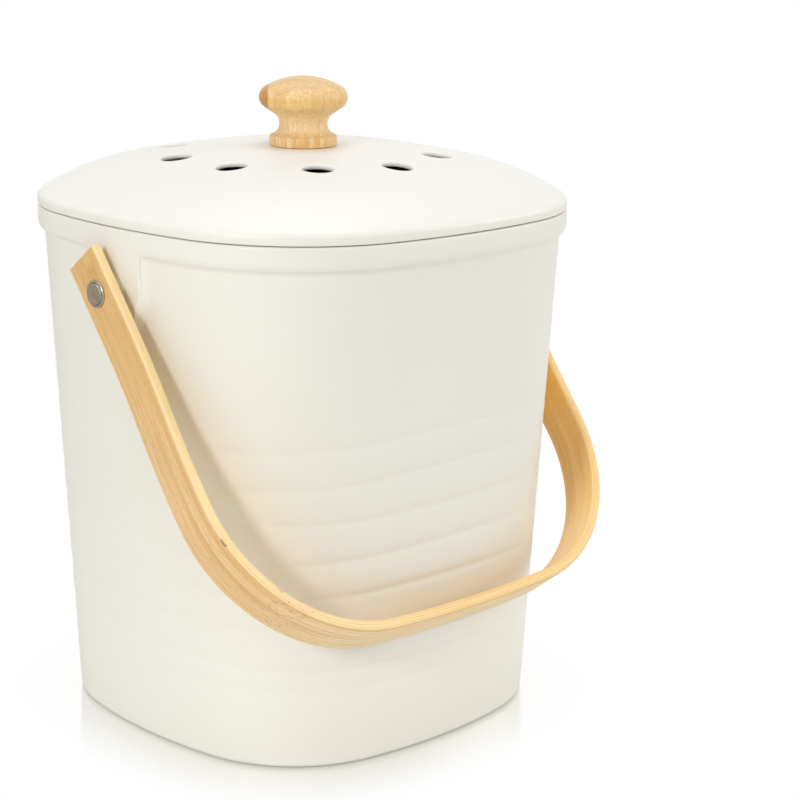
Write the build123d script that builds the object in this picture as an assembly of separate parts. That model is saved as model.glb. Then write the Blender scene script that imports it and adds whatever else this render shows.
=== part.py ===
from build123d import *
import math
import os

# Compost bin for the kitchen counter: a hollow moulded tub on a rounded-square plan, a domed lid with
# a ring of vents over a charcoal pad, a turned bamboo knob and a bent bamboo strap handle on two steel
# binding posts. Sizes are in millimetres. The origin is on the table under the knob, +Z is up, the
# front faces -Y and the handle's pivots lie along X.

# Plan of the tub: four bulged sides and four round corners, given at the rim and at the base
RIM_HALF = 94.2
RIM_SIDE_R = 245.0
RIM_CORNER_R = 64.0
BASE_HALF = 82.3
BASE_SIDE_R = 196.0
BASE_CORNER_R = 53.0

# Tub: heights and thicknesses
TUB_HEIGHT = 199.8
RIM_BAND = 9.0
RIM_STEP = 2.6
RIM_ROUND = 0.9
TUB_WALL = 3.2
TUB_FLOOR = 3.8
BASE_ROUND = 2.5
FLOOR_ROUND = 6.0
FOOT_WIDTH = 7.0
FOOT_GROOVE = 0.6
FOOT_GROOVE_WIDTH = 3.0

# Throwing rings: shallow grooves round the tapered wall
RING_COUNT = 7
RING_TOP = 125.5
RING_PITCH = 14.3
RING_DEPTH = 0.5
RING_WIDTH = 3.4

# Pads that carry the handle's pivots, flush with the rim band
PIVOT_DROP = 23.8
PAD_HALF = 15.7
PAD_ROUND = 0.8

# Lid
LID_GAP = 0.3
LID_EDGE = 3.9
LID_ROUND = 3.0
LID_WALL = 2.0
DOME_RISE = 18.4
DOME_FLATNESS = 0.82
SKIRT_DROP = 8.4
SKIRT_WALL = 2.6
SKIRT_CLEARANCE = 0.9
VENT_COUNT = 10
VENT_RING_R = 52.5
VENT_R = 5.75
VENT_ROUND = 0.6

# Filter pad and the twist-lock cover that holds it under the vents
COLLAR_R = 66.0
COLLAR_WALL = 2.5
COLLAR_DROP = 20.2
LUG_COUNT = 4
LUG_REACH = 2.8
LUG_HEIGHT = 1.6
LUG_ANGLE = 24.0
TAB_ANGLE = 20.0
TAB_HEIGHT = 1.5
TAB_OVERLAP = 2.0
COVER_PLATE = 2.0
COVER_CLEARANCE = 0.5
SEAT_CLEARANCE = 0.3
SLOT_COUNT = 16
SLOT_WIDTH = 5.0
SLOT_INNER_R = 22.0
COVER_BORDER = 6.5
GRIP_LENGTH = 52.0
GRIP_WIDTH = 5.0
GRIP_DROP = 6.0
FILTER_THICKNESS = 6.0
FILTER_R = 62.0

# Knob, turned from bamboo, with its screw
KNOB_BASE_R = 13.2
KNOB_BASE_ROUND = 0.8
KNOB_NECK_R = 9.4
KNOB_NECK_H = 8.5
KNOB_HOLLOW_R = 4.6
KNOB_CAP_R = 17.25
KNOB_CAP_H = 18.7
KNOB_EDGE_R = 4.6
KNOB_HEIGHT = 26.8
BOSS_R = 10.0
BOSS_DROP = 1.6
INSERT_R = 3.5
INSERT_LENGTH = 12.0
KNOB_SCREW_R = 2.0
KNOB_SCREW_HEAD_R = 4.0
KNOB_SCREW_HEAD_H = 2.6
KNOB_WASHER_R = 6.5
KNOB_WASHER_T = 1.0

# Handle: a flat strap bent to a U, that leans on the front wall; its grip sits a little off the middle
STRAP_THICKNESS = 4.1
STRAP_WIDTH = 18.7
STRAP_EDGE_ROUND = 0.8
STRAP_END = 15.1
HANDLE_LEG = 90.2
HANDLE_BEND_R = 60.7
HANDLE_GRIP_R = 725.0
HANDLE_SHIFT = -2.4
HANDLE_REST_GAP = 0.3

# Pivots: binding post from outside, screw from inside
SPACER_T = 2.2
SPACER_R = 6.0
SIDE_PLAY = 0.1
POST_R = 2.5
POST_FLANGE_R = 5.1
POST_FLANGE_T = 0.7
POST_CAP_R = 4.1
POST_CAP_H = 1.3
POST_END_GAP = 0.4
RUNNING_FIT = 0.06
FIXED_FIT = 0.1
PIVOT_SCREW_R = 1.5
PIVOT_SCREW_LENGTH = 9.0
PIVOT_SCREW_HEAD_R = 3.2
PIVOT_SCREW_HEAD_H = 2.0
INNER_WASHER_R = 4.8
INNER_WASHER_T = 1.0
HEX_ACROSS = 2.5

# How far a cutting shape runs past the face that it opens, and how deep the flat washer seats are cut
OVERCUT = 1.0
SEAT_CUT = 0.1

# Levels and places that follow from the sizes above
WALL_TOP = TUB_HEIGHT - RIM_BAND
PIVOT_Z = TUB_HEIGHT - PIVOT_DROP
LID_BOTTOM = TUB_HEIGHT + LID_GAP
DOME_FOOT = LID_BOTTOM + LID_EDGE
DOME_TOP = DOME_FOOT + DOME_RISE
KNOB_SEAT = DOME_TOP
BOSS_BOTTOM = DOME_TOP - LID_WALL - BOSS_DROP
COLLAR_BOTTOM = DOME_TOP - COLLAR_DROP
LUG_TOP = COLLAR_BOTTOM + LUG_HEIGHT
COVER_TOP = LUG_TOP + SEAT_CLEARANCE + TAB_HEIGHT
COVER_BOTTOM = COVER_TOP - COVER_PLATE
COVER_R = COLLAR_R - LUG_REACH - COVER_CLEARANCE
FILTER_BOTTOM = COVER_TOP + SEAT_CLEARANCE
STRAP_X = RIM_HALF + SPACER_T + SIDE_PLAY + STRAP_THICKNESS / 2
HEAD_X = STRAP_X + STRAP_THICKNESS / 2 + SIDE_PLAY


def rounded_square(half, side_r, corner_r):
    """Outline in the XY plane: bulged sides and round corners that meet in tangents."""
    side_c = half - side_r
    span = side_r - corner_r
    corner_c = (side_c + math.sqrt(2 * span**2 - side_c**2)) / 2
    tx = side_c + side_r * (corner_c - side_c) / span
    ty = side_r * corner_c / span
    reach = corner_c + corner_r / math.sqrt(2)
    edges = []
    for quarter in range(4):
        turn = Rot(0, 0, 90 * quarter)
        edges.append(turn * ThreePointArc((tx, -ty), (half, 0), (tx, ty)))
        edges.append(turn * ThreePointArc((tx, ty), (reach, reach), (ty, tx)))
    return make_face(edges)


def rim_plan(inset=0.0):
    """Plan of the rim and the lid, moved inward by inset."""
    return rounded_square(RIM_HALF - inset, RIM_SIDE_R - inset, RIM_CORNER_R - inset)


def wall_half(z):
    """Half width of the tapered wall's outer face at height z."""
    return BASE_HALF + (RIM_HALF - RIM_STEP - BASE_HALF) * z / WALL_TOP


def wall_plan(z, inset=0.0):
    """Section of the tapered wall's outer face at height z, moved inward by inset."""
    share = z / WALL_TOP
    side_r = BASE_SIDE_R + (RIM_SIDE_R - RIM_STEP - BASE_SIDE_R) * share
    corner_r = BASE_CORNER_R + (RIM_CORNER_R - RIM_STEP - BASE_CORNER_R) * share
    return Pos(0, 0, z) * rounded_square(wall_half(z) - inset, side_r - inset, corner_r - inset)


def ring_levels():
    """Heights of the throwing rings, from the lowest up."""
    return [RING_TOP - RING_PITCH * i for i in reversed(range(RING_COUNT))]


def tapered_wall():
    """The wall as a solid, with its throwing rings and the round at its foot."""
    sections = [wall_plan(0)]
    for z in ring_levels():
        sections.append(wall_plan(z - RING_WIDTH / 2))
        sections.append(wall_plan(z, RING_DEPTH))
        sections.append(wall_plan(z + RING_WIDTH / 2))
    sections.append(wall_plan(WALL_TOP))
    wall = loft(sections, ruled=True)
    return fillet(wall.edges().group_by(Axis.Z)[0], BASE_ROUND)


def rim_and_pads():
    """The rim band and, flush with it, a U-shaped pad round each pivot."""
    column = extrude(rim_plan(), TUB_HEIGHT)
    column = fillet(column.edges().group_by(Axis.Z)[-1], RIM_ROUND)
    leg = Pos(0, (WALL_TOP - PIVOT_Z) / 2) * Rectangle(2 * PAD_HALF, WALL_TOP - PIVOT_Z)
    pads = extrude(Plane.YZ * Pos(0, PIVOT_Z) * (Circle(PAD_HALF) + leg), RIM_HALF + OVERCUT, both=True)
    band = Pos(0, 0, WALL_TOP) * extrude(rim_plan(-OVERCUT), RIM_BAND)
    top = column & (pads + band)
    lower = top.edges().filter_by(lambda e: e.bounding_box().max.Z < WALL_TOP + 0.01)
    return fillet(lower.filter_by(lambda e: reach(e) > RIM_HALF / 2), PAD_ROUND)


def reach(edge):
    """How far the middle of an edge lies from the Z axis, along X or Y."""
    middle = edge.center()
    return max(abs(middle.X), abs(middle.Y))


def tub_inside():
    """The hollow: it follows the wall's taper, then runs straight up through the rim band."""
    straight = wall_plan(WALL_TOP, TUB_WALL)
    mouth = Pos(0, 0, RIM_BAND + OVERCUT) * straight
    hollow = loft([wall_plan(TUB_FLOOR, TUB_WALL), straight, mouth], ruled=True)
    return fillet(hollow.edges().group_by(Axis.Z)[0], FLOOR_ROUND)


def washer_seat_x():
    """Distance from the middle to the flat spot inside each pivot, where the inner washer bears."""
    return wall_half(PIVOT_Z + INNER_WASHER_R + OVERCUT) - TUB_WALL + SEAT_CUT


def along_x(radius, x_from, x_to):
    """Cylinder on the pivots' axis between two distances along X."""
    return Plane(origin=(x_from, 0, PIVOT_Z), z_dir=(1, 0, 0)) * extrude(Circle(radius), x_to - x_from)


def bin_body():
    body = tapered_wall() + rim_and_pads() - tub_inside()
    seat = washer_seat_x()
    body -= along_x(INNER_WASHER_R + OVERCUT, -seat, seat)
    body -= along_x(POST_R + FIXED_FIT, -RIM_HALF - OVERCUT, RIM_HALF + OVERCUT)
    mouth = body.edges().filter_by(lambda e: abs(e.center().Z - TUB_HEIGHT) < 0.01)
    body = fillet(mouth.filter_by(lambda e: reach(e) < RIM_HALF - RIM_STEP), RIM_ROUND)
    groove = wall_plan(0, FOOT_WIDTH) - wall_plan(0, FOOT_WIDTH + FOOT_GROOVE_WIDTH)
    return body - extrude(groove, FOOT_GROOVE)


def dome_z(share):
    """Height of the lid's outer face where the plan is scaled to share of the lid's edge."""
    drop = (1 - DOME_FLATNESS) * share**2 + DOME_FLATNESS * share**4
    return DOME_TOP - DOME_RISE * drop


def dome(lowered=0.0):
    """Solid under the lid's outer face down to its foot, moved down by lowered."""
    shares = [1.0, 0.94, 0.86, 0.76, 0.64, 0.5, 0.35, 0.2, KNOB_BASE_R / RIM_HALF]
    sections = [Pos(0, 0, dome_z(s) - lowered) * scale(rim_plan(), s) for s in shares]
    return loft(sections)


def tube(outer_r, inner_r, z_from, z_to):
    """Ring about the lid's axis between two heights."""
    return Pos(0, 0, z_from) * extrude(Circle(outer_r) - Circle(inner_r), z_to - z_from)


def ring_segment(inner_r, outer_r, z_from, z_to, angle):
    """Part of a ring, centred on +X and angle degrees wide."""
    profile = Pos((inner_r + outer_r) / 2, (z_from + z_to) / 2) * Rectangle(outer_r - inner_r, z_to - z_from)
    return Rot(0, 0, -angle / 2) * revolve(Plane.XZ * profile, Axis.Z, angle)


def vent_mouths(shell):
    """Upper edges of the vents."""
    level = DOME_TOP - LID_WALL / 2 - DOME_RISE * (VENT_RING_R / RIM_HALF) ** 2
    found = []
    for edge in shell.edges().filter_by(lambda e: e.bounding_box().min.Z > level):
        middle = edge.center()
        if abs(math.hypot(middle.X, middle.Y) - VENT_RING_R) < VENT_R:
            found.append(edge)
    return found


def lid():
    edge = Pos(0, 0, LID_BOTTOM) * extrude(rim_plan(), LID_EDGE)
    shell = edge + dome()
    corner = [e for e in shell.edges() if abs(e.center().Z - DOME_FOOT) < 0.01]
    shell = fillet(corner, LID_ROUND)
    shell = fillet(shell.edges().group_by(Axis.Z)[0], RIM_ROUND)
    mouth_inset = RIM_STEP + TUB_WALL + SKIRT_CLEARANCE
    skirt = Pos(0, 0, LID_BOTTOM - SKIRT_DROP) * extrude(rim_plan(mouth_inset), SKIRT_DROP + OVERCUT)
    inner = dome(LID_WALL)
    under = inner + Pos(0, 0, DOME_FOOT - LID_WALL) * extrude(rim_plan(), -2 * SKIRT_DROP)
    bore_bottom = LID_BOTTOM - 2 * SKIRT_DROP
    bore = Pos(0, 0, bore_bottom) * extrude(rim_plan(mouth_inset + SKIRT_WALL), DOME_TOP - bore_bottom)
    hollow = bore & under
    collar = tube(COLLAR_R + COLLAR_WALL, COLLAR_R, COLLAR_BOTTOM, DOME_TOP)
    boss = Pos(0, 0, BOSS_BOTTOM) * extrude(Circle(BOSS_R), LID_WALL)
    inside = (collar + boss) & dome(LID_WALL / 2)
    result = shell + skirt - hollow + inside
    lug_outer_r = COLLAR_R + COLLAR_WALL / 2
    lug = ring_segment(COLLAR_R - LUG_REACH, lug_outer_r, COLLAR_BOTTOM, LUG_TOP, LUG_ANGLE)
    for i in range(LUG_COUNT):
        result += Rot(0, 0, 360 / LUG_COUNT * (i + 0.5)) * lug
    vent = Pos(0, -VENT_RING_R, 0) * extrude(Circle(VENT_R), DOME_TOP)
    for i in range(VENT_COUNT):
        result -= Rot(0, 0, 360 / VENT_COUNT * i) * vent
    result = fillet(vent_mouths(result), VENT_ROUND)
    return result - extrude(Circle(KNOB_SCREW_R + 3 * FIXED_FIT), DOME_TOP + OVERCUT)


def knob():
    """Mushroom profile: base disc, hollow neck, sloping underside, round cap edge and shallow dome."""
    edge_x = KNOB_CAP_R - KNOB_EDGE_R
    rise = KNOB_HEIGHT - KNOB_CAP_H
    dome_r = (edge_x**2 + rise**2 - KNOB_EDGE_R**2) / (2 * (rise - KNOB_EDGE_R))
    neck_x = KNOB_NECK_R + KNOB_HOLLOW_R
    drop = KNOB_CAP_H - KNOB_NECK_H
    apart = math.hypot(neck_x - edge_x, drop)
    lean = math.atan2(neck_x - edge_x, drop) + math.acos((KNOB_HOLLOW_R + KNOB_EDGE_R) / apart)
    under = (edge_x + KNOB_EDGE_R * math.sin(lean), KNOB_CAP_H - KNOB_EDGE_R * math.cos(lean))
    throat = (neck_x - KNOB_HOLLOW_R * math.sin(lean), KNOB_NECK_H + KNOB_HOLLOW_R * math.cos(lean))
    crown = math.atan2(edge_x, dome_r - rise)
    shoulder = (edge_x + KNOB_EDGE_R * math.sin(crown), KNOB_CAP_H + KNOB_EDGE_R * math.cos(crown))
    top = (dome_r * math.sin(crown / 2), KNOB_HEIGHT - dome_r * (1 - math.cos(crown / 2)))
    base_x = KNOB_BASE_R - KNOB_BASE_ROUND
    foot_z = KNOB_NECK_H - math.sqrt(KNOB_HOLLOW_R**2 - (neck_x - base_x) ** 2)
    low_z = KNOB_BASE_ROUND
    high_z = foot_z - KNOB_BASE_ROUND
    bite = KNOB_BASE_ROUND * (1 - math.sqrt(0.5))
    profile = [
        Line((0, 0), (base_x, 0)),
        ThreePointArc((base_x, 0), (KNOB_BASE_R - bite, bite), (KNOB_BASE_R, low_z)),
        Line((KNOB_BASE_R, low_z), (KNOB_BASE_R, high_z)),
        ThreePointArc((KNOB_BASE_R, high_z), (KNOB_BASE_R - bite, foot_z - bite), (base_x, foot_z)),
        ThreePointArc((base_x, foot_z), (KNOB_NECK_R, KNOB_NECK_H), throat),
        Line(throat, under),
        ThreePointArc(under, (KNOB_CAP_R, KNOB_CAP_H), shoulder),
        ThreePointArc(shoulder, top, (0, KNOB_HEIGHT)),
        Line((0, KNOB_HEIGHT), (0, 0)),
    ]
    turned = revolve(Plane.XZ * make_face(profile), Axis.Z)
    hole = extrude(Circle(INSERT_R), INSERT_LENGTH + OVERCUT)
    return Pos(0, 0, KNOB_SEAT) * (turned - hole)


def knob_insert():
    ring = Circle(INSERT_R) - Circle(KNOB_SCREW_R + FIXED_FIT)
    return Pos(0, 0, KNOB_SEAT) * extrude(ring, INSERT_LENGTH)


def knob_washer():
    ring = Circle(KNOB_WASHER_R) - Circle(KNOB_SCREW_R + 2 * FIXED_FIT)
    return Pos(0, 0, BOSS_BOTTOM - KNOB_WASHER_T) * extrude(ring, KNOB_WASHER_T)


def knob_screw():
    seat = BOSS_BOTTOM - KNOB_WASHER_T
    shank = Pos(0, 0, seat) * extrude(Circle(KNOB_SCREW_R), KNOB_SEAT + INSERT_LENGTH - OVERCUT - seat)
    low = Pos(0, 0, seat - KNOB_SCREW_HEAD_H)
    head = low * extrude(Circle(KNOB_SCREW_HEAD_R), KNOB_SCREW_HEAD_H)
    head = fillet(head.edges().group_by(Axis.Z)[0], KNOB_SCREW_HEAD_H / 3)
    socket = low * extrude(RegularPolygon(HEX_ACROSS / 2, 6), KNOB_SCREW_HEAD_H / 2)
    return shank + head - socket


def charcoal_filter():
    pad = Pos(0, 0, FILTER_BOTTOM) * extrude(Circle(FILTER_R), FILTER_THICKNESS)
    return fillet(pad.edges(), FILTER_THICKNESS / 4)


def filter_cover():
    """Slotted disc with bayonet tabs that sit on the collar's lugs, and a straight finger grip below."""
    disc = Pos(0, 0, COVER_BOTTOM) * extrude(Circle(COVER_R), COVER_PLATE)
    grip = Pos(0, 0, COVER_BOTTOM - GRIP_DROP) * extrude(SlotOverall(GRIP_LENGTH, GRIP_WIDTH), GRIP_DROP)
    grip = fillet(grip.edges().group_by(Axis.Z)[0], GRIP_WIDTH / 5)
    slot_length = COVER_R - COVER_BORDER - SLOT_INNER_R
    slot = Pos(SLOT_INNER_R + slot_length / 2, 0) * SlotOverall(slot_length, SLOT_WIDTH)
    cut = Pos(0, 0, COVER_BOTTOM) * extrude(slot, COVER_PLATE)
    for i in range(SLOT_COUNT):
        disc -= Rot(0, 0, 360 / SLOT_COUNT * (i + 0.5)) * cut
    result = disc + grip
    tab_outer_r = COLLAR_R - COVER_CLEARANCE
    tab = ring_segment(COVER_R - TAB_OVERLAP, tab_outer_r, COVER_TOP - TAB_HEIGHT, COVER_TOP, TAB_ANGLE)
    for i in range(LUG_COUNT):
        result += Rot(0, 0, 360 / LUG_COUNT * (i + 0.5)) * tab
    return result


def handle_depth():
    """Distance from the pivots' axis to the middle of the grip."""
    span = HANDLE_GRIP_R - HANDLE_BEND_R
    return HANDLE_LEG + HANDLE_GRIP_R - math.sqrt(span**2 - (STRAP_X - HANDLE_BEND_R) ** 2)


def handle_rest_angle():
    """Degrees forward of straight down at which the grip's back edge leans on the front wall."""
    taper = (wall_half(WALL_TOP) - wall_half(0)) / WALL_TOP
    slope = math.atan(taper)
    back = handle_depth() - STRAP_THICKNESS / 2
    corner = math.hypot(back, STRAP_WIDTH / 2)
    lag = math.atan2(STRAP_WIDTH / 2, back)
    lean = math.asin((wall_half(PIVOT_Z) * math.cos(slope) + HANDLE_REST_GAP) / corner) - slope
    return math.degrees(lean + lag)


def strap_leg(x):
    """Leg that runs straight past its post and drifts sideways by the grip's shift on the way down."""
    start = -PAD_HALF
    middle = (start - HANDLE_LEG) / 2
    end_x = x + HANDLE_SHIFT
    return [
        Line((x, STRAP_END), (x, start)),
        Bezier((x, start), (x, middle), (end_x, middle), (end_x, -HANDLE_LEG)),
    ]


def strap_side(offset):
    """Face inside the strap's centreline moved outward by offset, with the legs up the Y axis."""
    x = STRAP_X + offset
    bend_x = STRAP_X - HANDLE_BEND_R
    grip_y = HANDLE_GRIP_R - handle_depth()
    turn = math.atan2(bend_x, HANDLE_LEG + grip_y)
    grip_r = HANDLE_GRIP_R + offset
    join_x, join_y = grip_r * math.sin(turn), grip_y - grip_r * math.cos(turn)
    middle = (math.pi / 2 + turn) / 2
    bend_r = HANDLE_BEND_R + offset
    side_x, side_y = bend_x + bend_r * math.sin(middle), -HANDLE_LEG - bend_r * math.cos(middle)
    grip = [
        ThreePointArc((-x, -HANDLE_LEG), (-side_x, side_y), (-join_x, join_y)),
        ThreePointArc((-join_x, join_y), (0, grip_y - grip_r), (join_x, join_y)),
        ThreePointArc((join_x, join_y), (side_x, side_y), (x, -HANDLE_LEG)),
    ]
    shifted = [Pos(HANDLE_SHIFT, 0) * arc for arc in grip]
    return make_face(strap_leg(-x) + shifted + strap_leg(x) + [Line((x, STRAP_END), (-x, STRAP_END))])


def handle():
    face = strap_side(STRAP_THICKNESS / 2) - strap_side(-STRAP_THICKNESS / 2)
    strap = extrude(face, STRAP_WIDTH / 2, both=True)
    rims = strap.edges().group_by(Axis.Z)
    strap = fillet(rims[0] + rims[-1], STRAP_EDGE_ROUND)
    strap = Pos(0, 0, PIVOT_Z) * Rot(90 - handle_rest_angle(), 0, 0) * strap
    return strap - along_x(POST_R + RUNNING_FIT, -HEAD_X, HEAD_X)


def pivot_post():
    """Binding post on the +X side: a flanged cap head outside and a barrel with a blind bore."""
    barrel_end = washer_seat_x() + POST_END_GAP
    flange = along_x(POST_FLANGE_R, HEAD_X, HEAD_X + POST_FLANGE_T)
    flange = fillet(flange.edges().group_by(Axis.X)[-1], POST_FLANGE_T / 2)
    cap = along_x(POST_CAP_R, HEAD_X, HEAD_X + POST_CAP_H)
    cap = fillet(cap.edges().group_by(Axis.X)[-1], POST_CAP_H / 3)
    barrel = along_x(POST_R, barrel_end, HEAD_X)
    bore = along_x(PIVOT_SCREW_R + FIXED_FIT, barrel_end, barrel_end + PIVOT_SCREW_LENGTH)
    return flange + cap + barrel - bore


def spacer_washer():
    return along_x(SPACER_R, RIM_HALF, RIM_HALF + SPACER_T) - along_x(POST_R + FIXED_FIT, 0, HEAD_X)


def inner_washer():
    seat = washer_seat_x()
    disc = along_x(INNER_WASHER_R, seat - INNER_WASHER_T, seat)
    return disc - along_x(PIVOT_SCREW_R + FIXED_FIT, 0, HEAD_X)


def pivot_screw():
    head_x = washer_seat_x() - INNER_WASHER_T
    head = along_x(PIVOT_SCREW_HEAD_R, head_x - PIVOT_SCREW_HEAD_H, head_x)
    head = fillet(head.edges().group_by(Axis.X)[0], PIVOT_SCREW_HEAD_H / 3)
    shank = along_x(PIVOT_SCREW_R, head_x, washer_seat_x() + PIVOT_SCREW_LENGTH - OVERCUT)
    start = Plane(origin=(head_x - PIVOT_SCREW_HEAD_H, 0, PIVOT_Z), z_dir=(1, 0, 0))
    socket = start * extrude(RegularPolygon(HEX_ACROSS / 2, 6), PIVOT_SCREW_HEAD_H / 2)
    return head + shank - socket


nodes = {
    "bin_body": bin_body(),
    "lid": lid(),
    "knob": knob(),
    "knob_insert": knob_insert(),
    "knob_washer": knob_washer(),
    "knob_screw": knob_screw(),
    "charcoal_filter": charcoal_filter(),
    "filter_cover": filter_cover(),
    "handle": handle(),
}
for name, make in [("pivot_post", pivot_post), ("spacer_washer", spacer_washer),
                   ("inner_washer", inner_washer), ("pivot_screw", pivot_screw)]:
    nodes[name + "_right"] = make()
    nodes[name + "_left"] = mirror(make(), Plane.YZ)

os.makedirs("parts", exist_ok=True)
for name, solid in nodes.items():
    export_step(solid, f"parts/{name}.step")
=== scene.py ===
import math

import bmesh
import bpy
import numpy
from mathutils import Matrix, Vector


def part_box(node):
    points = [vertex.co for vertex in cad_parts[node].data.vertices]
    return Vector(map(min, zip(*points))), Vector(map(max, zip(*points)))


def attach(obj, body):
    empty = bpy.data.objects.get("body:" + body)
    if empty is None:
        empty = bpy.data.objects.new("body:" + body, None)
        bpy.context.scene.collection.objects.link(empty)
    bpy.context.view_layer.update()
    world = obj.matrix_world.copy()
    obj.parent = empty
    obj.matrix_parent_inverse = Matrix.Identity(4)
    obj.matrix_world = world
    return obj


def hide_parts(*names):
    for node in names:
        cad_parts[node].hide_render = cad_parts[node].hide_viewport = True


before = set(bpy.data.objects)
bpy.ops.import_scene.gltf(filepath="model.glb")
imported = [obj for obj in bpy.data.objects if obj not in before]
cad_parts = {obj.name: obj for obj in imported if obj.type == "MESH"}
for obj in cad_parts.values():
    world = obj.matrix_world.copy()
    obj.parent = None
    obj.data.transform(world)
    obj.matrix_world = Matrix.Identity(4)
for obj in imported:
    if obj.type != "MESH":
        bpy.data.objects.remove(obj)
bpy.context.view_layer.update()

# The camera stands to the front left, a little above the lid, and looks down at the tub. Its place, turn
# and lens follow the outline of the bin in the photograph, with a slight roll, and it has no shift.
camera_data = bpy.data.cameras.new("camera")
camera_data.lens = 93.75
camera_data.sensor_width = 36.0
camera_data.clip_start = 0.05
camera_data.clip_end = 20.0
camera = bpy.data.objects.new("camera", camera_data)
bpy.context.scene.collection.objects.link(camera)
camera.matrix_world = (
    Matrix.Translation((-0.54350, -0.60682, 0.32517))
    @ Matrix.Rotation(math.radians(-44.613), 4, "Z")
    @ Matrix.Rotation(math.radians(90 - 14.14), 4, "X")
    @ Matrix.Rotation(math.radians(0.863), 4, "Z")
)
bpy.context.scene.camera = camera
bpy.context.scene.view_settings.view_transform = "Standard"

# The bin stands on a plain white sweep that is glossy enough to mirror its foot. The mirror image fades away
# from the foot, whose plan is followed by a sum of powers, and the rest of the floor is pure white.
FOOT_POWER, MIRROR_FULL, MIRROR_END = 2.8, 0.080, 0.116


class Wire:
    """A socket of a material. Sums and products of wires add the Math nodes that they need."""

    def __init__(self, tree, socket=None):
        self.tree = tree
        self.socket = socket

    def node(self, kind, settings, inputs, out=0):
        """Add a node: its settings first, then the values or wires of its inputs. Give back one output."""
        made = self.tree.nodes.new("ShaderNode" + kind)
        for name, value in settings.items():
            setattr(made, name, value)
        for name, value in inputs.items():
            if isinstance(value, Wire):
                self.tree.links.new(value.socket, made.inputs[name])
            else:
                made.inputs[name].default_value = value
        return Wire(self.tree, made.outputs[out])

    def maths(self, operation, *values):
        """A Math node on this wire and the values or wires after it."""
        return self.node("Math", {"operation": operation}, dict(enumerate((self, *values))))

    def __add__(self, other):
        return self.maths("ADD", other)

    def __sub__(self, other):
        return self.maths("SUBTRACT", other)

    def __mul__(self, other):
        return self.maths("MULTIPLY", other)

    def __rsub__(self, other):
        return self.maths("MULTIPLY_ADD", -1.0, other)

    __radd__ = __add__
    __rmul__ = __mul__

    def step(self, low, high):
        """0 below low, 1 above high and a smooth change between them. low may be the larger one."""
        settings = {"interpolation_type": "SMOOTHSTEP"}
        return self.node("MapRange", settings, {0: self, 1: low, 2: high, 3: 0.0, 4: 1.0})

    def near(self, middle, far, close):
        """1 within close of the middle, 0 beyond far from it and a smooth change between them."""
        return (self - middle).maths("ABSOLUTE").step(far, close)

    def mix(self, none, full):
        """The colour none where this wire is 0, and full where it is 1."""
        return self.node("Mix", {"data_type": "RGBA"}, {0: self, 6: none, 7: full}, out=2)

    def axis(self, name):
        """One of a vector's three numbers."""
        return self.node("SeparateXYZ", {}, {0: self}, out=name)

    def noise(self, scale, detail=2.0, rough=0.5):
        """Noise from 0 to 1 over this vector, which is first scaled by three numbers."""
        spot = self.node("VectorMath", {"operation": "MULTIPLY"}, {0: self, 1: scale})
        inputs = {"Vector": spot, "Scale": 1.0, "Detail": detail, "Roughness": rough}
        return self.node("TexNoise", {}, inputs)


class Finish:
    """A new material with its shader: where it starts, and where its wires go in."""

    def __init__(self, name, **sockets):
        self.material = bpy.data.materials.new(name)
        self.material.use_nodes = True
        self.shader = self.material.node_tree.nodes["Principled BSDF"]
        self.start = Wire(self.material.node_tree)
        for socket, value in sockets.items():
            self.shader.inputs[socket.replace("_", " ")].default_value = value

    def place(self):
        """Object coordinates, in metres."""
        return self.start.node("TexCoord", {}, {}, out="Object")

    def feed(self, socket, wire):
        """Link a wire to one of the shader's sockets."""
        self.material.node_tree.links.new(wire.socket, self.shader.inputs[socket])

    def relief(self, wire, height):
        """Raise and lower the surface by the wire, from 0 to 1, times a height in metres."""
        inputs = {"Strength": 1.0, "Distance": height, "Height": wire}
        self.feed("Normal", wire.node("Bump", {}, inputs, "Normal"))

    def put_on(self, piece):
        """Make this the piece's one material."""
        if not piece.material_slots:
            piece.data.materials.append(self.material)
        for one in piece.material_slots:
            one.material = self.material


bpy.ops.object.select_all(action="DESELECT")
bpy.ops.mesh.primitive_plane_add(size=16.0, location=(0, 0, 0))
floor = bpy.context.object
floor.name = "floor"
sweep = Finish("sweep", Base_Color=(0.87, 0.87, 0.86, 1), Roughness=0.5)
spot = sweep.place()
powers = [spot.axis(name).maths("ABSOLUTE").maths("POWER", FOOT_POWER) for name in "XY"]
reach = (powers[0] + powers[1]).maths("POWER", 1 / FOOT_POWER)
mirrored = reach.step(MIRROR_END, MIRROR_FULL) * 0.8
white = spot.node("Emission", {}, {"Color": (1, 1, 1, 1), "Strength": 1.0})
gloss = spot.node("BsdfAnisotropic", {}, {"Color": (0.98, 0.975, 0.965, 1), "Roughness": 0.12})
shown = spot.node("MixShader", {}, {0: mirrored, 1: white, 2: gloss})
matt = Wire(spot.tree, sweep.shader.outputs["BSDF"])
by_camera = spot.node("LightPath", {}, {}, "Is Camera Ray")
mixed = spot.node("MixShader", {}, {0: by_camera, 1: matt, 2: shown})
spot.tree.links.new(mixed.socket, spot.tree.nodes["Material Output"].inputs["Surface"])
sweep.put_on(floor)

# The light is an even white room and four square soft boxes. The small one on the left draws the strap's
# shadow, and the larger ones in front, on the right and overhead fill it. What mirrors shows the room white.
ROOM_LIGHT = 0.44
world = bpy.data.worlds.new("room")
bpy.context.scene.world = world
world.use_nodes = True
room = Wire(world.node_tree)
seen = room.node("LightPath", {}, {}, "Is Camera Ray")
for kind in ("Glossy", "Transmission"):
    seen = seen.maths("MAXIMUM", room.node("LightPath", {}, {}, "Is " + kind + " Ray"))
background = world.node_tree.nodes["Background"]
background.inputs["Color"].default_value = (1, 1, 1, 1)
strength = seen * (1 - ROOM_LIGHT) + ROOM_LIGHT
world.node_tree.links.new(strength.socket, background.inputs["Strength"])


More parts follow.
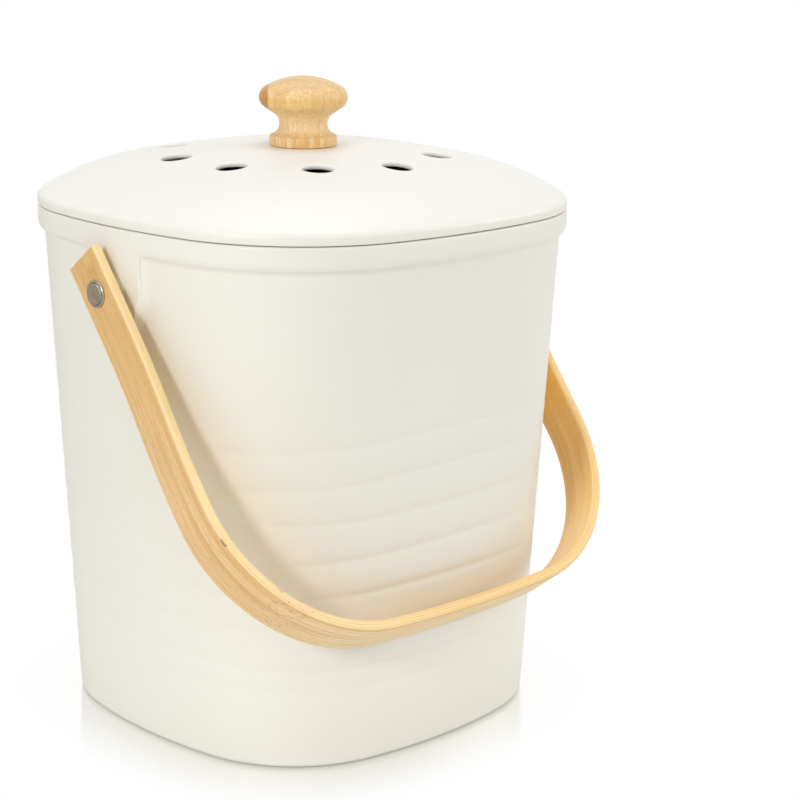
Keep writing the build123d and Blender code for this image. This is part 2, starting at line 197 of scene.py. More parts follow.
def soft_lamp(name, place, size, watts):
    """A square soft box that faces the middle of the bin."""
    data = bpy.data.lights.new(name, "AREA")
    data.shape = "SQUARE"
    data.size = size
    data.energy = watts
    lamp = bpy.data.objects.new(name, data)
    bpy.context.scene.collection.objects.link(lamp)
    lamp.location = place
    lamp.rotation_euler = (Vector((0, 0, 0.12)) - Vector(place)).to_track_quat("-Z", "Y").to_euler()


soft_lamp("lamp_left", (-1.36, -0.32, 0.75), 0.3, 7.5)
soft_lamp("lamp_front", (-0.7, -1.4, 1.3), 1.2, 4.65)
soft_lamp("lamp_top", (0.1, 0.1, 1.6), 1.0, 7.7)
soft_lamp("lamp_right", (1.3, -0.9, 0.6), 0.8, 7.7)

# The tub is moulded from bamboo fibre and resin: a cream, satin shell with tiny fibre flecks. Its wall
# imitates a thrown pot, so the solid's even grooves are smoothed away and each ring gets its own height,
# drift and depth. The step under the rim band and the edges of the pads are soft, as a mould leaves them.
PIVOT = Vector((0, 0, 0.176))
RIM_HALF, RIM_SIDE_R, WALL_TOP = 0.0942, 0.245, 0.1908
BASE_PLAN = (0.0823, 0.196, 0.053)  # half width, radius of a side's arc, radius of a corner's
TOP_PLAN = (0.0916, 0.2424, 0.0614)
# How far a groove of the solid goes in at most, and what counts as the same height.
GROOVE_REACH, TOUCH = 0.0008, 1e-5
# How far inside an outer face a point still counts as on it, by a pad and under the rim band.
WALL_SKIN, STEP_SKIN = 0.0005, 0.0003
# The wall's foot, and the stretch where the solid's grooves are smoothed away.
SHELL_LOW, RINGS_LOW, RINGS_HIGH = 0.001, 0.006, 0.1595
# Half widths of a ring's crease and shoulders, and the depth at which the crease's painted shade is full.
CREASE, SHOULDER, FULL_SHADE_DEPTH = 0.0012, 0.0036, 0.0006
RINGS = (  # height, rise at the front, wave, tilt to the right, depth
    (0.1245, 0.0024, 0.0004, 0.0000, 0.00036),
    (0.1110, 0.0015, 0.0012, 0.0008, 0.00044),
    (0.0972, 0.0004, 0.0006, 0.0001, 0.00046),
    (0.0822, 0.0005, 0.0012, 0.0003, 0.00052),
    (0.0682, 0.0003, 0.0007, -0.0003, 0.00062),
    (0.0545, 0.0006, -0.0005, 0.0002, 0.00056),
    (0.0400, -0.0008, 0.0006, 0.0004, 0.00052),
    (0.0305, 0.0009, -0.0004, -0.0005, 0.00034),
)
# Half widths of a pad and of its flat face, and how wide its soft edge is.
PAD_HALF, PAD_FLAT, PAD_SLOPE = 0.0157, 0.0151, 0.0050
# How far down and to either side the wall changes round a pad.
PAD_LOW, PAD_REACH = 0.1525, 0.026
# Where the soft step at the rim band begins and ends.
STEP_LOW, STEP_HIGH = 0.1885, 0.1940
# How far the band stands out, the wall flares to meet it and the band's foot is drawn in.
STEP_OUT, STEP_FLARE, STEP_BACK = 0.0026, 0.0011, 0.0012
RING_CUTS = (0.016, 0.13725, 0.00125)  # from, to and pitch of the fine cuts through the rings
FLARE_CUTS = (0.1887, 0.1905, 0.0003)  # under the rim band
BAND_CUTS = (0.1918, 0.1938, 0.0002)  # on the rim band
PAD_RISE_CUTS = (0.1535, 0.1903, 0.0008)  # up a pad and the wall beside it
PAD_SIDE_CUTS = (0.0005, 0.0245, 0.0008)  # to either side of a pad's middle


def copy_node(node, name):
    """A new piece with a CAD node's mesh, whose loose triangles are merged, and that mesh open for work."""
    piece = bpy.data.objects.new(name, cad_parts[node].data.copy())
    bpy.context.scene.collection.objects.link(piece)
    bpy.ops.object.select_all(action="DESELECT")
    piece.select_set(True)
    bpy.context.view_layer.objects.active = piece
    bpy.ops.mesh.customdata_custom_splitnormals_clear()
    opened = bmesh.new()
    opened.from_mesh(piece.data)
    bmesh.ops.remove_doubles(opened, verts=opened.verts, dist=1e-6)
    return piece, opened


def rows(first, last, pitch):
    """Even places from first to last."""
    return [first + pitch * row for row in range(round((last - first) / pitch) + 1)]


def cut_faces(faces, places, normal):
    """Cut faces of the open mesh by planes with one normal, and give back what they became."""
    for place in places:
        verts = {v for f in faces for v in f.verts}
        edges = {e for f in faces for e in f.edges}
        geometry = [*verts, *edges, *faces]
        cut = bmesh.ops.bisect_plane(mesh, geom=geometry, plane_co=place, plane_no=normal, dist=1e-6)
        faces = [g for g in cut["geom"] if isinstance(g, bmesh.types.BMFace)]
    return faces


def wall_centres(z):
    """The wall's outline at height z: the middle and radius of a side's arc and of a corner's."""
    share = z / WALL_TOP
    half, side_r, corner_r = (a + (b - a) * share for a, b in zip(BASE_PLAN, TOP_PLAN))
    side_c = half - side_r
    corner_c = (side_c + math.sqrt(2 * (side_r - corner_r) ** 2 - side_c**2)) / 2
    return side_c, side_r, corner_c, corner_r


def off_wall(point):
    """How far a point is outside the wall, and the way out, worked out in one eighth of the plan."""
    side_c, side_r, corner_c, corner_r = wall_centres(point.z)
    x, y = abs(point.x), abs(point.y)
    turned = y > x
    if turned:
        x, y = y, x
    if (corner_c - side_c) * y > corner_c * (x - side_c):
        way, radius = Vector((x - corner_c, y - corner_c)), corner_r
    else:
        way, radius = Vector((x - side_c, y)), side_r
    distance = way.length - radius
    way.normalize()
    if turned:
        way = Vector((way.y, way.x))
    way = Vector((math.copysign(way.x, point.x), math.copysign(way.y, point.y), 0))
    return distance, way


def off_top(point):
    """How far a point is outside the plan of the wall's top, and the way out."""
    return off_wall(Vector((point.x, point.y, WALL_TOP)))


def on_wall(vert, low, high):
    """True for a point of the outer wall between two heights, or of a groove in it."""
    return low < vert.co.z < high and abs(off_wall(vert.co)[0]) < GROOVE_REACH


def ring_depth(point):
    """How deep the rings are at a point of the wall. They fade on two sides, and most by one corner."""
    turn = math.atan2(point.y, point.x) + math.pi / 2
    strength = 0.78 + 0.14 * math.cos(2 * turn) - 0.18 * math.sin(2 * turn)
    strength *= 1 - 0.75 * math.exp(-(((turn - math.pi / 4) / 0.3) ** 2))
    total = 0
    for height, rise, wave, tilt, depth in RINGS:
        ring_z = height + rise * math.cos(2 * turn) + wave * math.cos(3 * turn) + tilt * math.sin(turn)
        off = point.z - ring_z
        total += depth * (0.55 * math.exp(-((off / CREASE) ** 2)) + 0.45 * math.exp(-((off / SHOULDER) ** 2)))
    return total * strength


def wall_face(y, z):
    """How far the wall's outside is from the middle, on the sides with the pads."""
    side_c, side_r, corner_c, corner_r = wall_centres(z)
    return side_c + math.sqrt(side_r**2 - y**2)


def by_pad(vert):
    """True for a point of the wall's outside or of a pad, on or near the pad."""
    x, y, z = vert.co
    return abs(y) < PAD_REACH and PAD_LOW < z < WALL_TOP + TOUCH and abs(x) > wall_face(y, z) - WALL_SKIN


def pad_share(y, z):
    """1 on the pad, 0 on the wall and a soft slope between them."""
    outside = math.hypot(y, max(0.0, PIVOT.z - z)) - PAD_HALF
    share = min(max(0.5 - outside / PAD_SLOPE, 0.0), 1.0)
    return share * share * (3 - 2 * share)


tub, mesh = copy_node("bin_body", "tub_shell")
# Each point keeps how deep its ring crease is, which darkens it with painted shade in the material below.
crease_shade = mesh.verts.layers.float.new("ring")
shell = [f for f in mesh.faces if all(on_wall(v, SHELL_LOW, WALL_TOP) for v in f.verts)]
shell = cut_faces(shell, [(0, 0, z) for z in rows(*RING_CUTS) + rows(*FLARE_CUTS)], (0, 0, 1))
for vert in {v for f in shell for v in f.verts if on_wall(v, RINGS_LOW, RINGS_HIGH)}:
    distance, way = off_wall(vert.co)
    depth = ring_depth(vert.co)
    vert[crease_shade] = depth / FULL_SHADE_DEPTH
    vert.co -= way * (distance + depth)

side = [f for f in mesh.faces if all(by_pad(v) for v in f.verts)]
side = cut_faces(side, [(0, 0, z) for z in rows(*PAD_RISE_CUTS)], (0, 0, 1))
side = cut_faces(side, [(0, way * y, 0) for y in rows(*PAD_SIDE_CUTS) for way in (-1, 1)], (0, 1, 0))
for vert in {v for f in side for v in f.verts if v.co.z < WALL_TOP - TOUCH or abs(v.co.y) > PAD_FLAT}:
    x, y, z = vert.co
    wall_x = wall_face(y, z)
    rim_x = RIM_HALF - RIM_SIDE_R + math.sqrt(RIM_SIDE_R**2 - y**2)
    vert.co.x = math.copysign(wall_x + (rim_x - wall_x) * pad_share(y, z), x)

band = [f for f in mesh.faces if all(v.co.z > WALL_TOP and off_top(v.co)[0] > STEP_OUT / 2 for v in f.verts)]
cut_faces(band, [(0, 0, z) for z in rows(*BAND_CUTS)], (0, 0, 1))
for vert in [v for v in mesh.verts if STEP_LOW < v.co.z < STEP_HIGH]:
    z = vert.co.z
    on_band = z >= WALL_TOP - TOUCH
    distance, way = off_top(vert.co) if on_band else off_wall(vert.co)
    if distance < -STEP_SKIN:
        continue
    if on_band:
        outer = STEP_OUT - STEP_BACK * ((STEP_HIGH - z) / (STEP_HIGH - WALL_TOP)) ** 2
        soft = STEP_FLARE + distance / STEP_OUT * (outer - STEP_FLARE)
        share = pad_share(vert.co.y, WALL_TOP)
        vert.co += way * (soft + (STEP_OUT - soft) * share - distance)
    else:
        flare = STEP_FLARE * ((z - STEP_LOW) / (WALL_TOP - STEP_LOW)) ** 2
        vert.co += way * flare * (1 - min(max(distance / STEP_OUT, 0.0), 1.0))
bmesh.ops.remove_doubles(mesh, verts=mesh.verts, dist=2e-6)
mesh.to_mesh(tub.data)
mesh.free()
bpy.ops.object.shade_smooth_by_angle(angle=math.radians(30))

cream = Finish("bamboo_fibre_cream", IOR=1.5)
spot = cream.place()
height = spot.axis("Z")
cloud = spot.noise((16, 16, 16), 3.0)
fleck = spot.noise((1700, 1700, 900), 1.0).step(0.74, 0.84)
# Painted shade in the ring creases: a brown darkening by crease depth, strongest on the front, faint on the
# left.
ring = cream.start.node("Attribute", {"attribute_name": "ring"}, {}, out="Fac")
ring_shade_reach = 0.55 + height.step(0.100, 0.066) * 0.45 - height.step(0.064, 0.056) * 0.7
ring_shade_reach = ring_shade_reach * (0.15 + (spot.axis("X") - spot.axis("Y")).step(-0.02, 0.06) * 0.85)
ring_shade = ring.step(0.25, 1.0) * ring_shade_reach * (0.16 + spot.noise((18, 18, 60), 1.0) * 0.14)
body = cloud.mix((0.805, 0.785, 0.70, 1), (0.845, 0.825, 0.745, 1))
# Painted light: the wall is painted paler towards the foot, for light thrown up by the floor.
body = (height.step(0.125, 0.005) * 0.7).mix(body, (0.905, 0.885, 0.80, 1))
body = (fleck * 0.14).mix(body, (0.60, 0.52, 0.38, 1))
body = ring_shade.mix(body, (0.66, 0.50, 0.33, 1))
# Painted light: the lid, above the rim band, is painted paler and whiter, for the light on its upward face.
body = (height.step(0.2015, 0.206) * 0.8).mix(body, (0.845, 0.832, 0.785, 1))
cream.feed("Base Color", body)
cream.feed("Roughness", 0.36 + spot.noise((60, 60, 60), 2.0) * 0.1 + fleck * 0.1)
cream.relief(spot.noise((420, 420, 420), 2.0) * 0.6 + spot.noise((2600, 2600, 2600), 1.0) * 0.4, 0.00002)
cream.put_on(tub)
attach(tub, "tub")
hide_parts("bin_body")

# The lid is moulded from the same fibre as the tub, with a ring of ten vents whose upper lips are generously
# rounded, as in the photograph. The solid's lips are narrower, so each is widened here, and the dome's mesh
# round it is pushed out to make room.
VENTS, VENT_RING, VENT_R = 10, 0.0525, 0.00575
# The solid's round of a lip, the wider round, and the play in telling which points are on it.
LIP, WIDE_LIP, LIP_PLAY = 0.0006, 0.0010, 0.00015
# Measured from a vent's middle, the dome from the first to the third is pushed out to start at the second.
DOME_FROM, PUSHED_FROM, PUSHED_TO = 0.0065, 0.0070, 0.0079
# The dome's height is fitted between the first two, measured likewise, on what lies above the third.
FIT_FROM, FIT_TO, COLLAR_TOP = 0.0062, 0.013, 0.213


def dome_terms(way):
    """The terms of the dome's height at a way from a vent's middle, for a fit of their six weights."""
    x, y = way * 100
    return 1, x, y, x * x, x * y, y * y


lid, mesh = copy_node("lid", "lid_shell")
mesh.normal_update()
for vent in range(VENTS):
    turn = 2 * math.pi * vent / VENTS - math.pi / 2
    middle = Vector((VENT_RING * math.cos(turn), VENT_RING * math.sin(turn)))
    near = [v for v in mesh.verts if (v.co.xy - middle).length < FIT_TO and v.co.z > COLLAR_TOP]
    dome = [v.co for v in near if (v.co.xy - middle).length > FIT_FROM and v.normal.z > 0.9]
    table = numpy.array([dome_terms(place.xy - middle) for place in dome])
    weights = numpy.linalg.lstsq(table, numpy.array([place.z for place in dome]), rcond=None)[0]
    for vert in near:
        way = vert.co.xy - middle
        out = way.length
        drop = numpy.dot(weights, dome_terms(way)) - vert.co.z
        if out < VENT_R - LIP_PLAY or out > PUSHED_TO or drop > LIP + LIP_PLAY:
            continue
        if out < VENT_R + LIP * 1.2:
            drop *= WIDE_LIP / LIP
            new_out = VENT_R + (out - VENT_R) * WIDE_LIP / LIP
        else:
            new_out = PUSHED_FROM + (out - DOME_FROM) * (PUSHED_TO - PUSHED_FROM) / (PUSHED_TO - DOME_FROM)
        way *= new_out / out
        vert.co.xy = middle + way
        vert.co.z = numpy.dot(weights, dome_terms(way)) - drop
mesh.to_mesh(lid.data)
mesh.free()
bpy.ops.object.shade_smooth_by_angle(angle=math.radians(30))
evening = lid.modifiers.new("evening", "WEIGHTED_NORMAL")
evening.mode = "FACE_AREA"
evening.keep_sharp = True
bpy.ops.object.modifier_apply(modifier="evening")
cream.put_on(lid)
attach(lid, "lid")
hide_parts("lid")

# The slotted cover under the lid is moulded from the same fibre as the tub. It holds the pad, and twists off
# its lugs when the pad is changed.
cream.put_on(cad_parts["filter_cover"])

# The pad is a disc of carbon felt, stamped from sheet, so its rim is pressed soft. It lies loose on the
# cover and shows black through the vents.
FELT_R, FELT_GAP, FELT_SLACK, PRESSED = 0.0616, 0.0002, 0.0006, 0.0011
pad_low, pad_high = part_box("charcoal_filter")
felt_low = pad_low[2] + FELT_GAP
felt_thick = pad_high[2] - pad_low[2] - FELT_SLACK
bpy.ops.object.select_all(action="DESELECT")
bpy.ops.mesh.primitive_cylinder_add(
    vertices=120, radius=FELT_R, depth=felt_thick, location=(0, 0, felt_low + felt_thick / 2)
)
felt_pad = bpy.context.object
felt_pad.name = "felt_pad"
bpy.ops.object.transform_apply(location=True, rotation=True, scale=True)
bpy.ops.object.mode_set(mode="EDIT")
bpy.ops.mesh.select_mode(type="FACE")
bpy.ops.mesh.select_all(action="DESELECT")
bpy.ops.object.mode_set(mode="OBJECT")
for face in felt_pad.data.polygons:
    face.select = abs(face.normal.z) > 0.9
bpy.ops.object.mode_set(mode="EDIT")
bpy.ops.mesh.inset(thickness=0.0012, depth=0.0)
for width, rise in ((0.003, 0.0001), (0.008, 0.0001), (0.016, 0.00005), (0.016, 0.0), (0.012, 0.0)):
    bpy.ops.mesh.inset(thickness=width, depth=rise)
bpy.ops.mesh.poke()
bpy.ops.mesh.select_all(action="SELECT")
bpy.ops.object.mode_set(mode="OBJECT")
rounding = felt_pad.modifiers.new("rounding", "BEVEL")
rounding.width = PRESSED
rounding.segments = 4
rounding.limit_method = "ANGLE"
bpy.ops.object.modifier_apply(modifier="rounding")
bpy.ops.object.shade_smooth_by_angle(angle=math.radians(40))

felt = Finish("charcoal_felt", Base_Color=(0.012, 0.012, 0.012, 1), Roughness=0.95, Specular_IOR_Level=0.2)
strand = felt.place().noise((900, 900, 900), 4.0, 0.7)
felt.feed("Base Color", strand.step(0.45, 0.75).mix((0.008, 0.008, 0.008, 1), (0.05, 0.048, 0.046, 1)))
felt.relief(strand, 0.0004)
felt.put_on(felt_pad)
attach(felt_pad, "lid")
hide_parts("charcoal_filter")

# The knob is turned from a block of upright bamboo strips glued side by side, so its top shows the ends of
# the fibres as dots and its sides show them as short streaks. It is sealed with a satin oil, and screwed on
# with its glue lines at an angle to the sides of the lid.
GLUE_TURN, GLUE_LINES = math.radians(44.6), 900.0
FOOT_TOP, NECK_LOW, NECK_HIGH, CAP_LOW, CAP_HIGH = 0.2266, 0.2262, 0.2370, 0.2375, 0.2428
knob_wood = Finish("turned_bamboo", IOR=1.45)
spot = knob_wood.place()
height = spot.axis("Z")
rightward = spot.axis("X") * math.cos(GLUE_TURN) - spot.axis("Y") * math.sin(GLUE_TURN)
backward = spot.axis("X") * math.sin(GLUE_TURN) + spot.axis("Y") * math.cos(GLUE_TURN)
column = spot.noise((520, 520, 12), 2.0)
fibre = spot.noise((1500, 1500, 110), 2.0, 0.6)
dots = spot.noise((2700, 2700, 420), 1.0).step(0.50, 0.64)
layer = (backward * GLUE_LINES + spot.noise((120, 120, 60), 1.0) * 3.0).maths("SINE") * 0.5 + 0.5
wood = column.step(0.32, 0.68).mix((0.79, 0.50, 0.19, 1), (0.89, 0.63, 0.30, 1))
wood = (layer.step(0.3, 0.9) * (0.35 + height.step(0.240, 0.246) * 0.3)).mix(wood, (0.76, 0.44, 0.19, 1))
wood = (fibre.step(0.38, 0.66) * 0.28).mix(wood, (0.98, 0.80, 0.50, 1))
wood = (dots * 0.50).mix(wood, (0.50, 0.27, 0.09, 1))
strips = spot.noise((620, 620, 5), 2.0, 0.7)
foot = height.step(FOOT_TOP + 0.0002, FOOT_TOP - 0.0002)
wood = (strips.step(0.56, 0.46) * foot * 0.45).mix(wood, (0.80, 0.43, 0.12, 1))
wood = (strips.step(0.52, 0.62) * foot * 0.35).mix(wood, (1.0, 0.80, 0.50, 1))
neck = height.step(NECK_LOW, NECK_LOW + 0.0028) * height.step(NECK_HIGH, NECK_HIGH - 0.0030)
wood = (neck * 0.35).mix(wood, (0.93, 0.72, 0.45, 1))
cap_side = height.step(CAP_LOW, CAP_LOW + 0.0015) * height.step(CAP_HIGH, CAP_HIGH - 0.0016)
wood = (cap_side * 0.4).mix(wood, (0.86, 0.50, 0.15, 1))
outer = rightward.step(-0.0128, -0.0136) * (0.65 + spot.noise((900, 900, 20), 1.0).step(0.4, 0.6) * 0.35)
wood = outer.mix(wood, (0.53, 0.23, 0.025, 1))
wood = (height.step(0.2435, 0.2480) * 0.3).mix(wood, (0.62, 0.46, 0.23, 1))
knob_wood.feed("Base Color", wood)
knob_wood.feed("Roughness", 0.42 + dots * 0.15)
knob_wood.relief(fibre * 0.6 + (1 - dots) * 0.4, 0.00006)
knob_wood.put_on(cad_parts["knob"])

# The handle is a flat strap of four thin bamboo layers, glued and bent hot round a former to a U, with its
# long edges rounded and its ends cut square. It hangs from two posts and leans on the front wall.
REST_TURN = math.radians(38.097)
STRAP_X, STRAP_THICK, STRAP_WIDE, STRAP_ROUND = 0.09855, 0.0041, 0.0187, 0.0012
STRAP_END, LEG_STRAIGHT, LEG = 0.0151, 0.0157, 0.0902
BEND_R, GRIP_R, DRIFT, DRILL_R = 0.0607, 0.725, -0.0024, 0.00256
BEND_X = STRAP_X - BEND_R
GRIP_DEPTH = LEG + GRIP_R - math.sqrt((GRIP_R - BEND_R) ** 2 - BEND_X**2)
JOIN_TURN = math.atan2(BEND_X, LEG + GRIP_R - GRIP_DEPTH)
BEND_TURN = math.pi / 2 - JOIN_TURN
HALF_LENGTH = STRAP_END + LEG + BEND_R * BEND_TURN + GRIP_R * JOIN_TURN
LEG_STEPS = 14


def leg_drift(share):
    """How far down and how far sideways the leg has got at a share of its curved run."""
    middle = (LEG_STRAIGHT + LEG) / 2
    back = 1 - share
    down = LEG_STRAIGHT * back**3 + 3 * middle * back * share + LEG * share**3
    return down, DRIFT * (3 * back * share**2 + share**3)


def extrude_leg(stops):
    """Draw the selected end of the strap from stop to stop, each a depth below the posts and a drift."""
    for (down, aside), (next_down, next_aside) in zip(stops, stops[1:]):
        move = (next_aside - aside, 0, down - next_down)
        bpy.ops.mesh.extrude_region_move(TRANSFORM_OT_translate={"value": move})


bpy.ops.object.select_all(action="DESELECT")
bpy.ops.mesh.primitive_plane_add(size=1.0, location=(-STRAP_X, 0, PIVOT.z + STRAP_END))
strap = bpy.context.object
strap.name = "bent_strap"
strap.scale = (STRAP_THICK, STRAP_WIDE, 1.0)
bpy.ops.object.transform_apply(location=True, rotation=True, scale=True)
bpy.ops.object.mode_set(mode="EDIT")
bpy.ops.mesh.select_all(action="SELECT")
bpy.ops.mesh.bevel(offset=STRAP_ROUND, segments=5, affect="VERTICES")
bpy.ops.mesh.select_mode(type="FACE")
bpy.ops.mesh.select_all(action="SELECT")
leg_stops = [(-STRAP_END, 0.0), (LEG_STRAIGHT, 0.0)]
leg_stops += [leg_drift((i + 1) / LEG_STEPS) for i in range(LEG_STEPS)]
bend_z = PIVOT.z - LEG
grip_z = PIVOT.z - GRIP_DEPTH + GRIP_R
extrude_leg(leg_stops)
bpy.ops.mesh.spin(steps=36, angle=BEND_TURN, center=(DRIFT - BEND_X, 0, bend_z), axis=(0, 1, 0))
bpy.ops.mesh.spin(steps=20, angle=2 * JOIN_TURN, center=(DRIFT, 0, grip_z), axis=(0, 1, 0))
bpy.ops.mesh.spin(steps=36, angle=BEND_TURN, center=(DRIFT + BEND_X, 0, bend_z), axis=(0, 1, 0))
extrude_leg(leg_stops[::-1])
bpy.ops.mesh.select_all(action="SELECT")
bpy.ops.mesh.remove_doubles(threshold=1e-6)
bpy.ops.mesh.normals_make_consistent(inside=False)
bpy.ops.object.mode_set(mode="OBJECT")

bpy.ops.object.select_all(action="DESELECT")
bpy.ops.mesh.primitive_cylinder_add(
    vertices=48, radius=DRILL_R, depth=0.25, location=PIVOT, rotation=(0, math.pi / 2, 0)
)
drill = bpy.context.object
bpy.ops.object.select_all(action="DESELECT")
strap.select_set(True)
bpy.context.view_layer.objects.active = strap
drilling = strap.modifiers.new("drilling", "BOOLEAN")
drilling.object = drill
bpy.ops.object.modifier_apply(modifier="drilling")
bpy.data.objects.remove(drill)
bpy.ops.object.shade_smooth_by_angle(angle=math.radians(35))


def along_strap(point):
    """Where a point of the hanging strap is along it from the left end, across it and through it."""
    x, depth = point.x - DRIFT, PIVOT.z - point.z
    if depth < LEG:
        run = STRAP_END + depth
        aside = 0.0
        if depth > LEG_STRAIGHT:
            share = (depth - LEG_STRAIGHT) / (LEG - LEG_STRAIGHT)
            for attempt in range(3):
                left_over = (depth - leg_drift(share)[0]) / (LEG - LEG_STRAIGHT)
                share = min(max(share + left_over / 1.5, 0.0), 1.0)
            aside = leg_drift(share)[1]
        through = abs(point.x - aside) - STRAP_X
    elif (abs(x) - BEND_X) * math.cos(JOIN_TURN) > (depth - LEG) * math.sin(JOIN_TURN):
        run = STRAP_END + LEG + BEND_R * math.atan2(depth - LEG, abs(x) - BEND_X)
        through = math.hypot(depth - LEG, abs(x) - BEND_X) - BEND_R
    else:
        turn = math.atan2(abs(x), depth - GRIP_DEPTH + GRIP_R)
        run = HALF_LENGTH - GRIP_R * turn
        through = math.hypot(x, depth - GRIP_DEPTH + GRIP_R) - GRIP_R
    if x > 0:
        run = 2 * HALF_LENGTH - run
    return run, -point.y, through


grain = strap.data.attributes.new("grain", "FLOAT_VECTOR", "POINT")
grain.data.foreach_set("vector", [number for vert in strap.data.vertices for number in along_strap(vert.co)])
lean = Matrix.Rotation(-REST_TURN, 4, "X")
strap.matrix_world = Matrix.Translation(PIVOT) @ lean @ Matrix.Translation(-PIVOT)
bpy.ops.object.transform_apply(location=True, rotation=True, scale=True)

strap_wood = Finish("bent_bamboo", IOR=1.45)
grain = strap_wood.start.node("Attribute", {"attribute_name": "grain"}, {}, out="Vector")
along, across, through = (grain.axis(name) for name in "XYZ")
thread = grain.noise((9, 1800, 600), 3.0, 0.75)
fine = grain.noise((45, 2700, 1600), 2.0, 0.7)
pores = grain.noise((300, 3000, 1500), 1.0).step(0.60, 0.70)
streak = grain.noise((4, 300, 200), 1.0).step(0.36, 0.64)
wood = streak.mix((0.77, 0.475, 0.19, 1), (0.87, 0.60, 0.30, 1))
wood = (along.step(0.11, 0.02) * 0.75).mix(wood, (0.73, 0.43, 0.14, 1))
# Painted highlight: the grip's face is painted paler, and its dark threads fainter.
grip_highlight = along.step(0.14, 0.19) * along.step(0.36, 0.31)
wood = (grip_highlight * 0.85).mix(wood, (1.0, 0.82, 0.50, 1))
wood = (thread.step(0.60, 0.38) * (0.38 - grip_highlight * 0.12)).mix(wood, (0.60, 0.35, 0.13, 1))
wood = (thread.step(0.50, 0.70) * 0.45).mix(wood, (0.93, 0.70, 0.41, 1))
wood = (fine.step(0.44, 0.66) * 0.38).mix(wood, (0.54, 0.30, 0.10, 1))
wood = (pores * 0.45).mix(wood, (0.45, 0.24, 0.08, 1))
inner_face = through.step(0.0, -0.0012)
wood = (inner_face * (0.3 + along.step(0.35, 0.40) * 0.5)).mix(wood, (1.0, 0.52, 0.07, 1))
wood = (inner_face * along.step(0.20, 0.10) * 0.7).mix(wood, (0.92, 0.62, 0.11, 1))
# The rounded long edges are painted paler: the lighter side grain of the layers, plus a painted highlight.
edge = across.maths("ABSOLUTE").step(0.0078, 0.0092)
edge_tone_and_highlight = along.step(0.15, 0.25).mix((1.0, 0.78, 0.42, 1), (0.97, 0.65, 0.26, 1))
wood = (edge * (0.68 + along.step(0.08, 0.13) * 0.12)).mix(wood, edge_tone_and_highlight)
glue = (through * (2 * math.pi / (STRAP_THICK / 4))).maths("COSINE").step(0.70, 1.0) * edge
glue = glue * grain.noise((40, 300, 2000), 2.0).step(0.30, 0.52) * along.step(0.10, 0.125)
wood = (glue * 0.5).mix(wood, (0.50, 0.25, 0.08, 1))
corner = across.near(0.0084, 0.0009, 0.0002) * through.step(0.0015, 0.0019) * along.step(0.105, 0.13)
wood = (corner * 0.5).mix(wood, (0.74, 0.38, 0.10, 1))
knot = along.near(0.1525, 0.010, 0.003).maths("MAXIMUM", along.near(0.372, 0.008, 0.002) * 0.4)
dashes = grain.noise((330, 2100, 900), 1.0).step(0.60, 0.68) * knot
wood = (knot * 0.25).mix(wood, (0.86, 0.62, 0.36, 1))
wood = (dashes * 0.75).mix(wood, (0.36, 0.20, 0.09, 1))
scorch = along.near(0.0080, 0.0055, 0.0010) * across.near(0.0030, 0.0042, 0.0005)
scorch = scorch * (0.35 + grain.noise((260, 1500, 900), 2.0).step(0.40, 0.60) * 0.65)
wood = (scorch * 0.5).mix(wood, (0.44, 0.20, 0.06, 1))
fleck = along.near(0.1203, 0.0024, 0.0008) * across.near(0.0086, 0.0007, 0.0002)
fleck = fleck * grain.noise((900, 2600, 900), 1.0).step(0.35, 0.55)
wood = (fleck * 0.8).mix(wood, (0.14, 0.08, 0.04, 1))
strap_wood.feed("Base Color", wood)
strap_wood.feed("Roughness", 0.40 + thread * 0.12)
strap_wood.relief(thread * 0.6 + fine * 0.4, 0.00003)
strap_wood.put_on(strap)
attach(strap, "handle")
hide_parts("handle")

# Each binding post is turned from steel: a flange, a polished cap that stands out of it behind a narrow
# groove, and a barrel bored for the screw. It goes through strap, spacer and wall from outside.
HEAD_SEAT, POST_R, FLANGE_R, CAP_R, BORE_R, BORE_DEPTH = 0.1007, 0.0025, 0.0051, 0.0041, 0.0016, 0.009
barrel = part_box("pivot_post_right")[0][0] - HEAD_SEAT
POST_PROFILE = (  # radius, way out from the flange's seat
    (0.0, barrel + BORE_DEPTH), (BORE_R, barrel + BORE_DEPTH), (BORE_R, barrel), (POST_R, barrel),
    (POST_R, 0.0), (FLANGE_R - 0.0002, 0.0), (FLANGE_R, 0.0002), (FLANGE_R, 0.0004),
    (FLANGE_R - 0.0001, 0.00058), (FLANGE_R - 0.0003, 0.0007), (CAP_R + 0.00035, 0.00066),
    (CAP_R + 0.0001, 0.0004), (CAP_R, 0.00045), (CAP_R - 0.0001, 0.0009), (CAP_R - 0.0002, 0.00115),
    (CAP_R - 0.0005, 0.0013), (0.0028, 0.00122), (0.0026, 0.00110), (0.0013, 0.00102), (0.0, 0.00100),
)
bpy.ops.object.select_all(action="DESELECT")
start = (HEAD_SEAT + barrel + BORE_DEPTH, 0, PIVOT.z)
bpy.ops.mesh.primitive_circle_add(vertices=3, radius=0.001, location=start)
right_post = bpy.context.object
right_post.name = "post_right"
bpy.ops.object.transform_apply(location=True, rotation=True, scale=True)
bpy.ops.object.mode_set(mode="EDIT")
bpy.ops.mesh.select_mode(type="VERT")
bpy.ops.mesh.select_all(action="SELECT")
bpy.ops.mesh.merge(type="CENTER")
for (radius, out), (next_radius, next_out) in zip(POST_PROFILE, POST_PROFILE[1:]):
    move = (next_out - out, 0, next_radius - radius)
    bpy.ops.mesh.extrude_region_move(TRANSFORM_OT_translate={"value": move})
bpy.ops.mesh.select_all(action="SELECT")
bpy.ops.mesh.spin(steps=72, angle=2 * math.pi, center=PIVOT, axis=(1, 0, 0))
bpy.ops.mesh.select_all(action="SELECT")
bpy.ops.mesh.remove_doubles(threshold=1e-7)
bpy.ops.mesh.normals_make_consistent(inside=False)
bpy.ops.object.mode_set(mode="OBJECT")
bpy.ops.object.shade_smooth_by_angle(angle=math.radians(35))

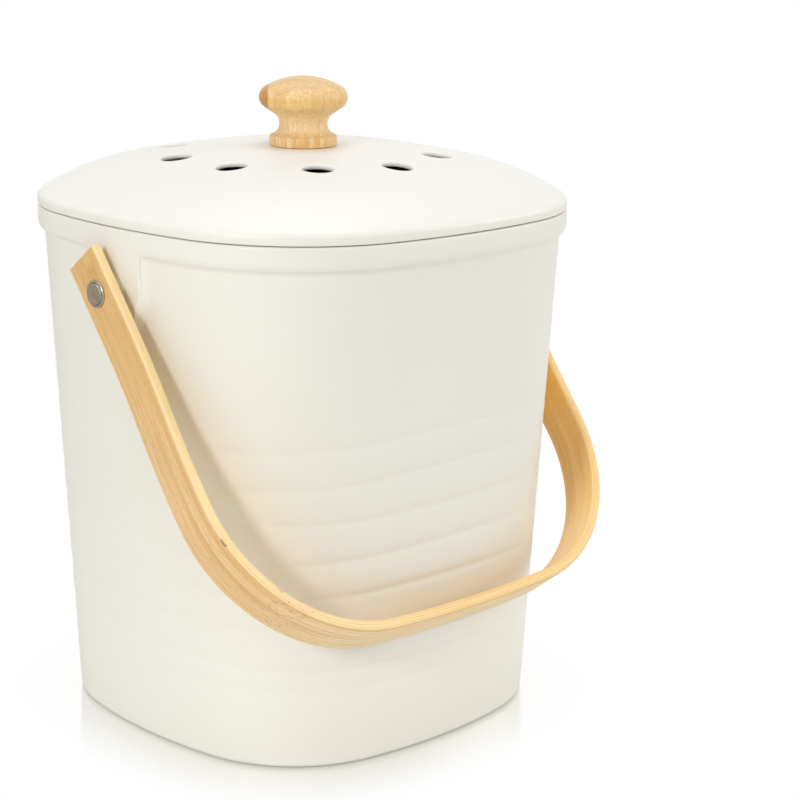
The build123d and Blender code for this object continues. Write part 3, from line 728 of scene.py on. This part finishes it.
polished = Finish("turned_steel", Metallic=1.0, Roughness=0.3)
spot = polished.place()
off_pivot = spot.node("VectorMath", {"operation": "SUBTRACT"}, {0: spot, 1: tuple(PIVOT)})
off_axis = spot.node("VectorMath", {"operation": "MULTIPLY"}, {0: off_pivot, 1: (0, 1, 1)})
out_from_axis = spot.node("VectorMath", {"operation": "LENGTH"}, {0: off_axis}, out="Value")
turned = (out_from_axis * 9000.0 + spot.noise((200, 200, 200), 1.0) * 3.0).maths("SINE") * 0.5 + 0.5
# Painted reflection: the steel is dark and warm, its own tone plus a painted reflection of a darker room; the
# flange is painted lighter than the cap, a painted highlight.
steel_and_reflection = spot.noise((300, 300, 300), 3.0).mix((0.31, 0.26, 0.18, 1), (0.36, 0.305, 0.215, 1))
polished.feed("Base Color", out_from_axis.step(CAP_R - 0.0004, CAP_R).mix(steel_and_reflection, (0.40, 0.37, 0.32, 1)))
polished.feed("Roughness", 0.28 + turned * 0.08)
polished.relief(turned, 0.000004)
polished.put_on(right_post)

left_post = bpy.data.objects.new("post_left", right_post.data.copy())
left_post.data.transform(Matrix.Rotation(math.pi, 4, "Z"))
bpy.context.scene.collection.objects.link(left_post)
for side, post in (("right", right_post), ("left", left_post)):
    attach(post, "tub")
    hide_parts("pivot_post_" + side)

# The screws and washers inside are plain zinc-plated steel, the spacers behind the strap are nylon, and the
# thread in the knob is a brass bush.
plated = Finish("plated_steel", Metallic=1.0, Roughness=0.35)
spot = plated.place()
plated.feed("Base Color", spot.noise((400, 400, 400), 3.0).mix((0.55, 0.56, 0.57, 1), (0.66, 0.67, 0.67, 1)))
plated.feed("Roughness", 0.3 + spot.noise((900, 900, 900), 2.0) * 0.15)
plated.relief(spot.noise((2500, 2500, 2500), 2.0), 0.00001)
nylon = Finish("natural_nylon", Roughness=0.45)
spot = nylon.place()
nylon.feed("Base Color", spot.noise((120, 120, 120), 2.0).mix((0.72, 0.70, 0.62, 1), (0.78, 0.76, 0.69, 1)))
nylon.relief(spot.noise((1800, 1800, 1800), 2.0), 0.00002)
brass = Finish("brass", Metallic=1.0, Roughness=0.3)
spot = brass.place()
brass.feed("Base Color", spot.noise((300, 300, 300), 2.0).mix((0.72, 0.52, 0.22, 1), (0.80, 0.60, 0.28, 1)))
brass.relief((spot.axis("Z") * 9000.0).maths("SINE"), 0.00001)
for node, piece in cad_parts.items():
    if "spacer" in node:
        nylon.put_on(piece)
    elif "screw" in node or "washer" in node:
        plated.put_on(piece)
    elif "insert" in node:
        brass.put_on(piece)
